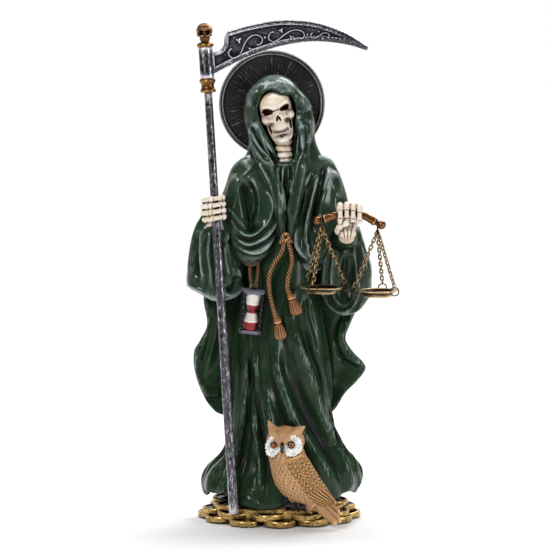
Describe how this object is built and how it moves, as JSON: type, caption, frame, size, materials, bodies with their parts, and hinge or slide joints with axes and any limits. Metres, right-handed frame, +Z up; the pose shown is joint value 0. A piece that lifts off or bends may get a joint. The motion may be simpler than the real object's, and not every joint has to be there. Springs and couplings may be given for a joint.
{
  "type": "santa muerte figure",
  "caption": "Robed skeleton saint with halo, scythe, hanging balance, hourglass and owl, standing on a base of overlapping coins; painted resin casting with loose metal pieces.",
  "frame": {"origin": "middle of the underside of the coin base", "axes": "+Z up; the figure faces -Y; the scythe is on its -X side"},
  "size_m": [0.1015, 0.0759, 0.2405],
  "materials": {
    "robe": "dark bottle green paint on resin, satin varnish, black wash in the folds and pale dry brushing on the ridges",
    "bone": "ivory paint with a brown wash in the recesses",
    "gold": "antique gold paint with a black wash between the coins",
    "owl": "tan and ochre paint with darker feather marks, white face, orange eyes",
    "halo": "black paint dry brushed with silver on the rim and the rays",
    "rope": "copper brown paint with dark twists",
    "pewter": "pewter paint, with white and red in the two bulbs",
    "blade": "silver dry brushed over black, gold skull and collars",
    "beam": "antique copper paint",
    "brass": "antique brass, dark in the recesses"
  },
  "bodies": {
    "root": {"figure": "robe", "scythe": "blade", "scale_beam": "beam", "left_scale_chains": "brass", "right_scale_chains": "brass", "left_scale_pan": "brass", "right_scale_pan": "brass"}
  },
  "joints": []
}
